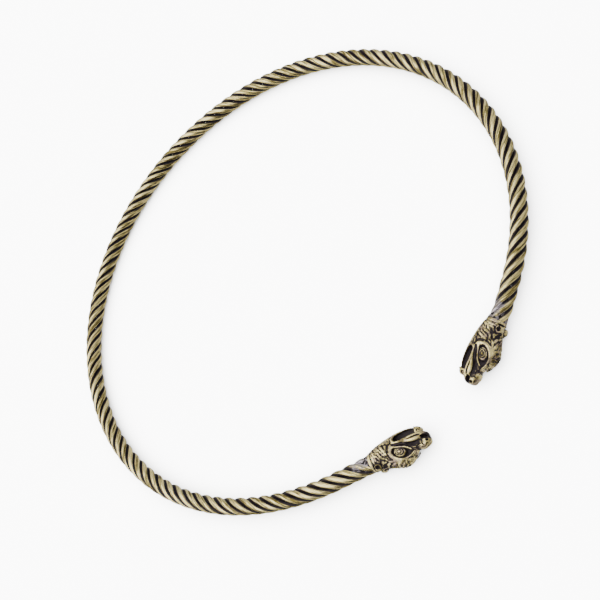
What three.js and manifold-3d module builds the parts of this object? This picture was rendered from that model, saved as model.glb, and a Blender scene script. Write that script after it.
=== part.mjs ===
// Bronze torc: a neck ring of five round wires twisted together, with a cast beast's head on each end.
// Millimetres, +Z up. The ring lies flat, its opening towards -Y.
import * as THREE from 'three';
import { mergeVertices } from 'three/addons/utils/BufferGeometryUtils.js';
import Module from 'manifold-3d';

const wasm = await Module();
wasm.setup();

// Ring: an oval along the middle of the cable, bent by hand and so a little skewed and egg-shaped
const RING_LONG_AXIS = 145.3;
const RING_SHORT_AXIS = 128.1;
const LONG_AXIS_TURN = THREE.MathUtils.degToRad(-22.2);
const RING_EGG = 0.42;
const EGG_TURN = THREE.MathUtils.degToRad(-57.8);
const OPENING_ANGLE = THREE.MathUtils.degToRad(42.4);
const OPENING_MIDDLE = THREE.MathUtils.degToRad(270);

// Cable ends: the last stretch of cable is bent to line up with its head
const END_STRETCH = 11;
const LEFT_END_OUT = 0.6;
const LEFT_HEAD_TURN = THREE.MathUtils.degToRad(5.9);
const RIGHT_END_OUT = 0.4;
const RIGHT_HEAD_TURN = THREE.MathUtils.degToRad(-1.2);

// Cable: round wires laid side by side and twisted to the right
const WIRE_COUNT = 5;
const WIRE_DIAMETER = 1.7;
const WIRE_CLEARANCE = 0.06;
const LAY_LENGTH = 19.3;
const WIRE_SIDES = 5;
const STEPS_PER_TURN = 6;

// Heads: cast, with a socket that the cable's end sits in
const HEAD_LENGTH = 17.5;
const HEAD_WIDTH = 7.2;
const SOCKET_DEPTH = 2.4;
const SOCKET_CLEARANCE = 0.05;
const SOCKET_WALL = 0.3;

// Solder: a run of soft solder round each joint, thick on the side towards the middle of the ring
const SOLDER_LENGTH = 2.4;
const SOLDER_THICK = 0.6;
const SOLDER_THIN = 0.12;
const SOLDER_CLEARANCE = 0.05;

// How far apart the middles of two neighbouring wires are, when both lie this far from the cable's middle
function wireSpacing(radius) {
  let nearest = Infinity;
  for (let slide = 0; slide <= WIRE_DIAMETER; slide += 0.01) {
    const angle = (2 * Math.PI) / WIRE_COUNT - (2 * Math.PI * slide) / LAY_LENGTH;
    nearest = Math.min(nearest, Math.hypot(2 * radius * Math.sin(angle / 2), slide));
  }
  return nearest;
}

// The wires touch each other round an empty middle, which settles how thick the cable is
let twistRadius = WIRE_DIAMETER / 2;
while (wireSpacing(twistRadius) < WIRE_DIAMETER + WIRE_CLEARANCE) {
  twistRadius += 0.002;
}
const cableRadius = twistRadius + WIRE_DIAMETER / 2;

// Each wire is cut square to itself, so its slanting end reaches this much past the cable's
const layAngle = Math.atan((2 * Math.PI * twistRadius) / LAY_LENGTH);
const endSlant = (WIRE_DIAMETER / 2) * Math.sin(layAngle);

// A wire's straight facets cut across the curve of its twist. So its corners lie a little outside the true
// curve and its section is drawn in by as much, which keeps the wires clear of each other halfway along.
const facetSwell = 1 / Math.sqrt(Math.cos(Math.PI / STEPS_PER_TURN));
const wireCorner = WIRE_DIAMETER / 2 / facetSwell;
const cableReach = twistRadius * facetSwell + wireCorner;

// Ring outline, as a radius that changes with the direction from the middle
const meanRadius = (RING_LONG_AXIS + RING_SHORT_AXIS) / 4;
const ovalSwing = (RING_LONG_AXIS - RING_SHORT_AXIS) / 4;

function ringPoint(angle) {
  const oval = ovalSwing * Math.cos(2 * (angle - LONG_AXIS_TURN));
  const egg = RING_EGG * Math.cos(3 * (angle - EGG_TURN));
  const radius = meanRadius + oval + egg;
  return new THREE.Vector3(radius * Math.cos(angle), radius * Math.sin(angle), 0);
}

class RingArc extends THREE.Curve {
  constructor(from, to) {
    super();
    this.from = from;
    this.to = to;
    this.arcLengthDivisions = 1200;
  }

  getPoint(t, target = new THREE.Vector3()) {
    return target.copy(ringPoint(THREE.MathUtils.lerp(this.from, this.to, t)));
  }
}

// One end of the cable: where its head starts, which way it points, and which way is out of the ring
function cableEnd(angle, along, out, turn) {
  const step = 0.001 * along;
  const forward = ringPoint(angle + step).sub(ringPoint(angle - step)).normalize();
  forward.applyAxisAngle(new THREE.Vector3(0, 0, 1), -turn * along);
  const outward = new THREE.Vector3(forward.y, -forward.x, 0).multiplyScalar(along);
  const neck = ringPoint(angle).multiplyScalar(1 + out / meanRadius);
  const seat = neck.clone().addScaledVector(forward, SOCKET_DEPTH - SOCKET_CLEARANCE - endSlant);
  return { angle, forward, outward, neck, seat };
}

const halfOpening = OPENING_ANGLE / 2;
const leftEnd = cableEnd(OPENING_MIDDLE - halfOpening, 1, LEFT_END_OUT, LEFT_HEAD_TURN);
const rightEnd = cableEnd(OPENING_MIDDLE + halfOpening, -1, RIGHT_END_OUT, RIGHT_HEAD_TURN);

// Middle line of the cable, from the bottom of the left head's socket clockwise to the right head's
const stretchAngle = END_STRETCH / meanRadius;
const arc = new RingArc(leftEnd.angle - stretchAngle, rightEnd.angle - 2 * Math.PI + stretchAngle);

function endBend(end, ringSide, ringDirection) {
  const reach = end.neck.distanceTo(ringSide) / 3;
  const neckHandle = end.neck.clone().addScaledVector(end.forward, -reach);
  const ringHandle = ringSide.clone().addScaledVector(ringDirection, reach);
  return new THREE.CubicBezierCurve3(end.neck, neckHandle, ringHandle, ringSide);
}

function reversed(bend) {
  return new THREE.CubicBezierCurve3(bend.v3, bend.v2, bend.v1, bend.v0);
}

const cable = new THREE.CurvePath();
cable.add(new THREE.LineCurve3(leftEnd.seat, leftEnd.neck));
cable.add(endBend(leftEnd, arc.getPoint(0), arc.getTangent(0).negate()));
cable.add(arc);
cable.add(reversed(endBend(rightEnd, arc.getPoint(1), arc.getTangent(1))));
cable.add(new THREE.LineCurve3(rightEnd.neck, rightEnd.seat));
const cableLength = cable.getLength();

// Middle of one wire, at a distance along the cable
function wirePoint(index, distance) {
  const t = THREE.MathUtils.clamp(distance / cableLength, 0, 1);
  const along = cable.getTangent(t);
  const outward = new THREE.Vector3(-along.y, along.x, 0);
  const angle = 2 * Math.PI * (distance / LAY_LENGTH + index / WIRE_COUNT);
  const point = cable.getPoint(t);
  point.addScaledVector(outward, twistRadius * facetSwell * Math.cos(angle));
  point.z += twistRadius * facetSwell * Math.sin(angle);
  return point;
}

// Closed body from rings of points, with both ends capped
function ringsToGeometry(rings) {
  const sides = rings[0].length;
  const positions = rings.flat().flatMap((p) => [p.x, p.y, p.z]);
  const indices = [];
  for (let i = 0; i < rings.length - 1; i += 1) {
    for (let j = 0; j < sides; j += 1) {
      const next = (j + 1) % sides;
      const a = i * sides + j;
      const b = i * sides + next;
      indices.push(a, b, b + sides, a, b + sides, a + sides);
    }
  }
  const last = (rings.length - 1) * sides;
  for (let j = 1; j < sides - 1; j += 1) {
    indices.push(0, j + 1, j);
    indices.push(last, last + j, last + j + 1);
  }
  const geometry = new THREE.BufferGeometry();
  geometry.setAttribute('position', new THREE.Float32BufferAttribute(positions, 3));
  geometry.setIndex(indices);
  return geometry;
}

// The section is carried along the wire without turning about it
function wireGeometry(index) {
  const steps = Math.round((cableLength / LAY_LENGTH) * STEPS_PER_TURN);
  const across = new THREE.Vector3(0, 0, 1);
  const rings = [];
  for (let i = 0; i <= steps; i += 1) {
    const distance = (cableLength * i) / steps;
    const ahead = wirePoint(index, Math.min(distance + 0.05, cableLength));
    const behind = wirePoint(index, Math.max(distance - 0.05, 0));
    const along = ahead.sub(behind).normalize();
    across.addScaledVector(along, -across.dot(along)).normalize();
    const sideways = new THREE.Vector3().crossVectors(along, across);
    const ring = [];
    for (let j = 0; j < WIRE_SIDES; j += 1) {
      const angle = (2 * Math.PI * j) / WIRE_SIDES;
      const corner = wirePoint(index, distance);
      corner.addScaledVector(across, wireCorner * Math.cos(angle));
      corner.addScaledVector(sideways, wireCorner * Math.sin(angle));
      ring.push(corner);
    }
    rings.push(ring);
  }
  return ringsToGeometry(rings);
}

// Boolean work on the heads
function toSolid(geometry) {
  const bare = geometry.clone();
  bare.deleteAttribute('normal');
  bare.deleteAttribute('uv');
  const merged = mergeVertices(bare, 1e-4);
  const vertProperties = Float32Array.from(merged.attributes.position.array);
  const triVerts = Uint32Array.from(merged.index.array);
  return new wasm.Manifold(new wasm.Mesh({ numProp: 3, vertProperties, triVerts }));
}

function toGeometry(solid) {
  const mesh = solid.getMesh();
  const geometry = new THREE.BufferGeometry();
  geometry.setAttribute('position', new THREE.BufferAttribute(mesh.vertProperties, mesh.numProp));
  geometry.setIndex(new THREE.BufferAttribute(mesh.triVerts, 1));
  return geometry;
}

// The head is carved at a length of 17.5 and scaled from there. x runs from the neck to the nose, y from the
// jaw, which faces the middle of the ring, to the crest, and z from the middle of the face to its side.
const lengthShare = HEAD_LENGTH / 17.5;
const widthShare = HEAD_WIDTH / 7.2;

function at(x, y, z) {
  return new THREE.Vector3(x * lengthShare, y * lengthShare, z * widthShare);
}

// The socket is a drilled round hole, with as many facets as the solder's bore
const BORE_SIDES = 14;
const borePinch = Math.cos(Math.PI / BORE_SIDES);
const socketRadius = (cableReach + SOCKET_CLEARANCE) / borePinch;

// Skull and muzzle, as sections: distance along, jaw line, crest line, half width
const NECK_RADIUS = socketRadius + SOCKET_WALL;
const SKULL = [
  { x: 1.0, jaw: -3.0, crest: 3.0, half: 2.9 },
  { x: 2.8, jaw: -3.35, crest: 3.35, half: 3.1 },
  { x: 4.9, jaw: -3.75, crest: 3.75, half: 3.25 },
  { x: 6.9, jaw: -4.15, crest: 4.15, half: 3.4 },
  { x: 8.7, jaw: -4.4, crest: 4.35, half: 3.4 },
  { x: 10.5, jaw: -4.45, crest: 3.9, half: 3.2 },
  { x: 12.3, jaw: -4.25, crest: 3.0, half: 2.8 },
  { x: 13.7, jaw: -3.9, crest: 2.45, half: 2.4 },
  { x: 14.9, jaw: -3.3, crest: 2.3, half: 2.15 },
  { x: 15.9, jaw: -2.3, crest: 2.2, half: 1.75 },
  { x: 16.6, jaw: -1.4, crest: 1.9, half: 1.1 },
];
const SKULL_SIDES = 12;

function skullGeometry() {
  const rings = [];
  const round = (j) => (2 * Math.PI * j) / SKULL_SIDES;
  const rim = [];
  for (let j = 0; j < SKULL_SIDES; j += 1) {
    const corner = new THREE.Vector3(0, Math.cos(round(j)), Math.sin(round(j)));
    rim.push(corner.multiplyScalar(NECK_RADIUS));
  }
  rings.push(rim);
  for (const { x, jaw, crest, half } of SKULL) {
    const ring = [];
    for (let j = 0; j < SKULL_SIDES; j += 1) {
      const rise = Math.cos(round(j));
      const crestward = 1 - 0.12 * rise;
      const y = (jaw + crest) / 2 + ((crest - jaw) / 2) * rise;
      ring.push(at(x, y, half * crestward * Math.sin(round(j))));
    }
    rings.push(ring);
  }
  return ringsToGeometry(rings);
}

// A rounded lump: its place, its half sizes along, across and out of the face, and how far it is turned
function lump(place, along, across, out, turn = 0, sides = 6) {
  const geometry = new THREE.SphereGeometry(1, sides, Math.floor(sides / 2));
  geometry.scale(along * lengthShare, across * lengthShare, out * widthShare);
  geometry.rotateZ(turn);
  geometry.translate(place.x, place.y, place.z);
  return toSolid(geometry);
}

// A raised band along a line on the face
const BAND_SIDES = 5;

function band(points, radius, steps) {
  const corners = [];
  for (let j = 0; j < BAND_SIDES; j += 1) {
    const angle = (2 * Math.PI * j) / BAND_SIDES;
    const corner = new THREE.Vector2(Math.cos(angle), Math.sin(angle));
    corners.push(corner.multiplyScalar(radius * lengthShare));
  }
  const extrudePath = new THREE.CatmullRomCurve3(points);
  const settings = { steps, extrudePath, bevelEnabled: false };
  return toSolid(new THREE.ExtrudeGeometry(new THREE.Shape(corners), settings));
}

// The open mouth: a long slot with round ends, sunk from each side down to a web in the middle
const MOUTH = { back: 7.9, front: 14.6, jawSide: -3.85, lipSide: -1.75, web: 0.9 };
const MOUTH_NARROWING = 0.75;

function mouthPocket(side) {
  const radius = (MOUTH.lipSide - MOUTH.jawSide) / 2;
  const middle = (MOUTH.lipSide + MOUTH.jawSide) / 2;
  const backEnd = at(MOUTH.back + radius, middle, 0);
  const frontRadius = radius * MOUTH_NARROWING;
  const frontEnd = at(MOUTH.front - frontRadius, middle + (radius - frontRadius) / 2, 0);
  const shape = new THREE.Shape();
  shape.absarc(frontEnd.x, frontEnd.y, frontRadius * lengthShare, -Math.PI / 2, Math.PI / 2);
  shape.absarc(backEnd.x, backEnd.y, radius * lengthShare, Math.PI / 2, (3 * Math.PI) / 2);
  const settings = { depth: HEAD_WIDTH, bevelEnabled: false, curveSegments: 3 };
  const geometry = new THREE.ExtrudeGeometry(shape, settings);
  geometry.translate(0, 0, (MOUTH.web / 2) * widthShare);
  const pocket = toSolid(geometry);
  return side > 0 ? pocket : pocket.mirror([0, 0, 1]);
}

const EYE_SLANT = THREE.MathUtils.degToRad(38);

// What is sunk into one side of the face before the raised forms go on
function hollows(side) {
  const p = (x, y, z) => at(x, y, z * side);
  const socket = lump(p(9.8, 1.4, 3.5), 3.0, 1.75, 1.2, EYE_SLANT, 8);
  const cheekFurrow = lump(p(7.3, -1.35, 3.75), 0.6, 1.9, 0.8, 0.35);
  return [socket, cheekFurrow];
}

// The features that stand out on one side of the face
function features(side) {
  const p = (x, y, z) => at(x, y, z * side);
  const eyeball = lump(p(9.2, 1.25, 2.5), 1.7, 1.2, 0.95, EYE_SLANT, 8);
  const browBack = [p(7.7, -1.5, 2.8), p(6.6, 0.1, 3.2), p(7.2, 2.3, 2.75)];
  const browTop = [p(9.2, 3.5, 2.1), p(12.4, 2.75, 1.6)];
  const brow = band([...browBack, ...browTop], 0.52, 6);
  const browCorner = lump(p(12.4, 2.75, 1.4), 0.9, 0.75, 0.8, -0.6);
  const lipLine = [p(7.9, -1.4, 3.0), p(10.3, -1.45, 3.05), p(13, -1.35, 2.6), p(15.6, -0.8, 1.7)];
  const lip = band(lipLine, 0.5, 4);
  const flews = lump(p(13.9, -1.15, 1.95), 1.7, 0.62, 0.85, 0.12);
  const nostril = lump(p(15.9, 0.85, 0.9), 1.2, 1.25, 1.0);
  const fang = band([p(14.6, -1.0, 1.5), p(14.75, -2.2, 1.6), p(14.5, -3.3, 1.3)], 0.34, 2);
  const ear = lump(p(2.4, 2.5, 2.0), 1.5, 1.25, 1.1, 0.3);
  const cheekCurl = lump(p(4.2, -1.75, 2.85), 1.2, 1.0, 0.85, -0.5);
  return [eyeball, brow, browCorner, lip, flews, nostril, fang, ear, cheekCurl];
}

// The mane: slanting locks in rows round the neck and behind the brow, the same on both sides
const MANE_ROWS = [
  { x: 1.4, locks: 3, radius: 2.85 },
  { x: 3.6, locks: 3, radius: 3.05 },
];
const LOWEST_LOCK = THREE.MathUtils.degToRad(150);
const LOCK_SPREAD = THREE.MathUtils.degToRad(36);
const LOCK_SLANT = 0.5;

function mane(side) {
  const locks = [];
  for (const { x, locks: count, radius } of MANE_ROWS) {
    for (let i = 0; i < count; i += 1) {
      const angle = LOWEST_LOCK - LOCK_SPREAD * i;
      const place = at(x + 0.3 * i, radius * Math.cos(angle), side * radius * Math.sin(angle));
      locks.push(lump(place, 1.3, 0.55, 0.55, LOCK_SLANT, 4));
    }
  }
  return locks;
}

// Tufts of hair along the crest, each a panel that stands a little above the skull
function crestTufts() {
  const tufts = [
    { x: 4.4, y: 3.45 },
    { x: 6.6, y: 3.9 },
    { x: 8.9, y: 4.0 },
  ];
  return tufts.map(({ x, y }) => lump(at(x, y, 0), 1.3, 0.7, 1.5, 0.12, 6));
}

// What is pierced last, through the raised forms too
function piercings(side) {
  const p = (x, y, z) => at(x, y, z * side);
  const earHole = lump(p(2.3, 2.85, 3.0), 0.75, 0.6, 0.65, 0.3);
  return [mouthPocket(side), earHole];
}

function headSolid() {
  const bore = new THREE.CylinderGeometry(socketRadius, socketRadius, 2 * SOCKET_DEPTH, BORE_SIDES);
  bore.rotateZ(Math.PI / 2);
  const jawTip = lump(at(14.9, -2.75, 0), 1.25, 0.8, 1.4, 0.45, 8);
  const mouthFront = lump(at(16.7, -0.9, 0), 1.0, 0.45, 2.2, 0.15);
  let head = toSolid(skullGeometry());
  for (const hollow of [...hollows(1), ...hollows(-1)]) {
    head = head.subtract(hollow);
  }
  const raised = [1, -1].flatMap((side) => [...features(side), ...mane(side)]);
  for (const form of [...raised, ...crestTufts(), jawTip]) {
    head = head.add(form);
  }
  for (const cut of [...piercings(1), ...piercings(-1), mouthFront, toSolid(bore)]) {
    head = head.subtract(cut);
  }
  return head;
}

// Solder: a lopsided collar on the wires, hard against the head
function solderGeometry() {
  const bore = (cableReach + SOLDER_CLEARANCE) / borePinch;
  const profile = [
    { x: 0, share: 0 },
    { x: 0, share: 1 },
    { x: -0.4 * SOLDER_LENGTH, share: 0.7 },
    { x: -SOLDER_LENGTH, share: 0.2 },
    { x: -SOLDER_LENGTH, share: 0 },
  ];
  const positions = [];
  const indices = [];
  for (let i = 0; i < BORE_SIDES; i += 1) {
    const angle = (2 * Math.PI * i) / BORE_SIDES;
    const thick = THREE.MathUtils.lerp(SOLDER_THIN, SOLDER_THICK, (1 - Math.cos(angle)) / 2);
    for (let j = 0; j < profile.length; j += 1) {
      const radius = bore + thick * profile[j].share;
      positions.push(profile[j].x - SOLDER_CLEARANCE, radius * Math.cos(angle), radius * Math.sin(angle));
      const a = i * profile.length + j;
      const b = i * profile.length + ((j + 1) % profile.length);
      const ahead = (((i + 1) % BORE_SIDES) - i) * profile.length;
      indices.push(a, b, b + ahead, a, b + ahead, a + ahead);
    }
  }
  const geometry = new THREE.BufferGeometry();
  geometry.setAttribute('position', new THREE.Float32BufferAttribute(positions, 3));
  geometry.setIndex(indices);
  return geometry;
}

// Finishes: antique bronze, and the greyer solder
const castBronze = new THREE.MeshStandardMaterial({ color: 0x8d8050, roughness: 0.38, metalness: 1 });
const drawnBronze = new THREE.MeshStandardMaterial({ color: 0xa2945f, roughness: 0.3, metalness: 1 });
const softSolder = new THREE.MeshStandardMaterial({ color: 0x9a9aa0, roughness: 0.45, metalness: 1 });

function piece(name, geometry, material) {
  geometry.computeVertexNormals();
  const mesh = new THREE.Mesh(geometry, material);
  mesh.name = name;
  return mesh;
}

const torc = new THREE.Group();
for (let index = 0; index < WIRE_COUNT; index += 1) {
  torc.add(piece(`wire_${index + 1}`, wireGeometry(index), drawnBronze));
}

const headForm = toGeometry(headSolid());
for (const [name, end] of [['left', leftEnd], ['right', rightEnd]]) {
  const sideways = new THREE.Vector3().crossVectors(end.forward, end.outward);
  const placing = new THREE.Matrix4().makeBasis(end.forward, end.outward, sideways).setPosition(end.neck);
  const head = piece(`head_${name}`, headForm.clone(), castBronze);
  head.applyMatrix4(placing);
  const solder = piece(`solder_${name}`, solderGeometry(), softSolder);
  solder.applyMatrix4(placing);
  torc.add(head, solder);
}

// As it lies, on both heads and on the cable at the back, it tips back by the heads' extra half width
const backReach = ringPoint(Math.PI / 2).y;
const headReach = -leftEnd.neck.y;
torc.rotation.x = -Math.asin((HEAD_WIDTH / 2 - cableRadius) / (backReach + headReach));
torc.updateMatrixWorld(true);

// The origin is under the middle of the whole torc, on the surface that it lies on
const box = new THREE.Box3().setFromObject(torc, true);
const middle = box.getCenter(new THREE.Vector3());
torc.position.set(-middle.x, -middle.y, -box.min.z);

export default torc;
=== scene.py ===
import math

import bpy
import numpy as np
from mathutils import Matrix, Vector


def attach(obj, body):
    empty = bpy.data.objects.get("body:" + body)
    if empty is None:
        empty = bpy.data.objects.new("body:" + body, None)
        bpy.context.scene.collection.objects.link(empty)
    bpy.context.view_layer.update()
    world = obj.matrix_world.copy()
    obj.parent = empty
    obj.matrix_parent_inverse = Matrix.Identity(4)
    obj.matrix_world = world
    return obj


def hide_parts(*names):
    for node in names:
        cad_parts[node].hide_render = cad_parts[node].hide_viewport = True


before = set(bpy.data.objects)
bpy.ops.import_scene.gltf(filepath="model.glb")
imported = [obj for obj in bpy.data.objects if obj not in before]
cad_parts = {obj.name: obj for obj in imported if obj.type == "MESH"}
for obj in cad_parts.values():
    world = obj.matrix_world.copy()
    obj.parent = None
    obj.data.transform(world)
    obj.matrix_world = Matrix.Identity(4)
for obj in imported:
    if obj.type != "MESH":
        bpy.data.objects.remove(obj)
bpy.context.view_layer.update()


# Camera. It stands at the opening and looks down on the ring from about 52 degrees up, rolled over so that
# the opening points to the lower right. Its place is given from the middle of the ring, in millimetres,
# before the ring is laid down on its heads.
RING_MIDDLE = Vector((0.364, 1.369, 3.127))
RING_TIP = -0.00885
CAMERA_PLACE = Vector((23.56, -176.16, 227.58))
CAMERA_RIGHT = Vector((0.58067, -0.62580, -0.52076))
CAMERA_UP = Vector((0.80885, 0.51621, 0.28158))
FOCAL_PIXELS = 999
PHOTO_PIXELS = 600
SENSOR_WIDTH = 36

lay_down = Matrix.Rotation(RING_TIP, 3, "X")


def metres(point):
    """A place in ring millimetres, laid down with the ring, in the frame's metres."""
    return (lay_down @ Vector(point) + RING_MIDDLE) / 1000


right = (lay_down @ CAMERA_RIGHT).normalized()
up = lay_down @ CAMERA_UP
up = (up - right * up.dot(right)).normalized()
camera_data = bpy.data.cameras.new("camera")
camera_data.sensor_width = SENSOR_WIDTH
camera_data.lens = FOCAL_PIXELS / PHOTO_PIXELS * SENSOR_WIDTH
camera_data.clip_start = 0.01
camera_data.dof.use_dof = False
camera = bpy.data.objects.new("camera", camera_data)
bpy.context.scene.collection.objects.link(camera)
axes = Matrix((right, up, right.cross(up))).transposed()
camera.matrix_world = Matrix.Translation(metres(CAMERA_PLACE)) @ axes.to_4x4()
bpy.context.scene.camera = camera


# The ring itself: five equal round bronze wires, drawn to 1.7 mm, laid side by side and twisted together to
# the right, then bent by hand into an oval and straightened at both ends to take the heads.
RING_LONG_AXIS = 145.3
RING_SHORT_AXIS = 128.1
LONG_AXIS_TURN = math.radians(-22.2)
RING_EGG = 0.42
EGG_TURN = math.radians(-57.8)
OPENING_ANGLE = math.radians(42.4)
OPENING_MIDDLE = math.radians(270)
END_STRETCH = 11
LEFT_END = {"out": 0.6, "turn": math.radians(5.9)}
RIGHT_END = {"out": 0.4, "turn": math.radians(-1.2)}
WIRE_COUNT = 5
WIRE_RADIUS = 0.85
TWIST_RADIUS = 1.62
LAY_LENGTH = 19.3
SOCKET_REACH = 2.0
SMEAR_REACH = 7.0
WIRE_SIDES = 28
WIRE_STEPS_PER_TURN = 34
ARC_POINTS = 9000
BEND_POINTS = 400

mean_radius = (RING_LONG_AXIS + RING_SHORT_AXIS) / 4


def ring_point(angle):
    oval = (RING_LONG_AXIS - RING_SHORT_AXIS) / 4 * np.cos(2 * (angle - LONG_AXIS_TURN))
    egg = RING_EGG * np.cos(3 * (angle - EGG_TURN))
    radius = mean_radius + oval + egg
    return np.stack([radius * np.cos(angle), radius * np.sin(angle), 0 * angle], -1)


def unit(vector):
    return vector / np.linalg.norm(vector, axis=-1, keepdims=True)


def cable_end(angle, along, out, turn):
    """Where a head starts, which way it points, and which way is out of the ring."""
    step = 0.001 * along
    forward = unit(ring_point(np.float64(angle + step)) - ring_point(np.float64(angle - step)))
    turned = Matrix.Rotation(-turn * along, 3, "Z") @ Vector(forward)
    forward = np.array(turned)
    outward = np.array([forward[1], -forward[0], 0]) * along
    neck = ring_point(np.float64(angle)) * (1 + out / mean_radius)
    return {"angle": angle, "forward": forward, "outward": outward, "neck": neck}


def bend(start, leaving, arriving, end):
    """A free bend between two points, as a cubic curve with handles a third of the way long."""
    reach = np.linalg.norm(end - start) / 3
    t = np.linspace(0, 1, BEND_POINTS)[:, None]
    near = start + leaving * reach
    far = end - arriving * reach
    return (1 - t) ** 3 * start + 3 * (1 - t) ** 2 * t * near + 3 * (1 - t) * t ** 2 * far + t ** 3 * end


left_end = cable_end(OPENING_MIDDLE - OPENING_ANGLE / 2, 1, **LEFT_END)
right_end = cable_end(OPENING_MIDDLE + OPENING_ANGLE / 2, -1, **RIGHT_END)
stretch_angle = END_STRETCH / mean_radius
arc_start = left_end["angle"] - stretch_angle
arc_stop = right_end["angle"] - 2 * math.pi + stretch_angle
arc = ring_point(np.linspace(arc_start, arc_stop, ARC_POINTS))
middle_line = np.concatenate([
    (left_end["neck"] + left_end["forward"] * SOCKET_REACH)[None],
    bend(left_end["neck"], -left_end["forward"], unit(arc[1] - arc[0]), arc[0]),
    arc[1:],
    bend(arc[-1], unit(arc[-1] - arc[-2]), right_end["forward"], right_end["neck"])[1:],
    (right_end["neck"] + right_end["forward"] * SOCKET_REACH)[None],
])
run = np.concatenate([[0], np.cumsum(np.linalg.norm(np.diff(middle_line, axis=0), axis=1))])
cable_length = run[-1]


def along_cable(distance):
    return np.stack([np.interp(distance, run, middle_line[:, axis]) for axis in range(3)], -1)


def mesh_piece(name, points, faces, values, material):
    """A smooth-shaded object at the origin, from points in ring millimetres, with values for its points."""
    turned = points @ np.array(lay_down).T + np.array(RING_MIDDLE)
    mesh = bpy.data.meshes.new(name)
    mesh.from_pydata((turned / 1000).tolist(), [], list(faces))
    for key, numbers in values.items():
        kind, field = ("FLOAT", "value") if numbers.ndim == 1 else ("FLOAT_VECTOR", "vector")
        layer = mesh.attributes.new(key, kind, "POINT")
        layer.data.foreach_set(field, numbers.astype(np.float32).ravel())
    mesh.polygons.foreach_set("use_smooth", [True] * len(mesh.polygons))
    mesh.materials.append(material)
    piece = bpy.data.objects.new(name, mesh)
    bpy.context.scene.collection.objects.link(piece)
    return piece


def linear(code):
    """An sRGB hex colour as the linear values that Blender's sockets take."""
    shares = [int(code[i:i + 2], 16) / 255 for i in (1, 3, 5)]
    return tuple(s / 12.92 if s <= 0.04045 else ((s + 0.055) / 1.055) ** 2.4 for s in shares) + (1.0,)


def add_node(tree, kind, inputs, **settings):
    """One node of a kind, with its settings; an input is a value, or the socket that feeds it."""
    node = tree.nodes.new(kind)
    for name, value in settings.items():
        setattr(node, name, value)
    for name, value in inputs.items():
        if isinstance(value, bpy.types.NodeSocket):
            tree.links.new(value, node.inputs[name])
        else:
            node.inputs[name].default_value = value
    return node


# Drawn bronze, aged: pale straw where handling keeps it bright, olive where it tarnishes, and a black
# sulphide patina left in the grooves. The drawing die leaves fine lines along each wire, and next to the
# heads the solder has run on over the wires in a grey, drossy smear.
# The patterns are drawn out along the wire. Across it they repeat so many times in a wire's radius, which
# makes lines 0.12 mm, streaks 0.33 mm and blotches 0.94 mm wide. Along it they are stretched over so many
# millimetres, and each wire starts further on in them. The mottle in the smear is 0.9 mm across.
LINES_PER_RADIUS = 7.0
STREAKS_PER_RADIUS = 2.6
BLOTCHES_PER_RADIUS = 0.9
PATTERN_STRETCH = 12
PATTERN_SHIFT = 50
MOTTLE_GRAIN = 0.9


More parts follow.
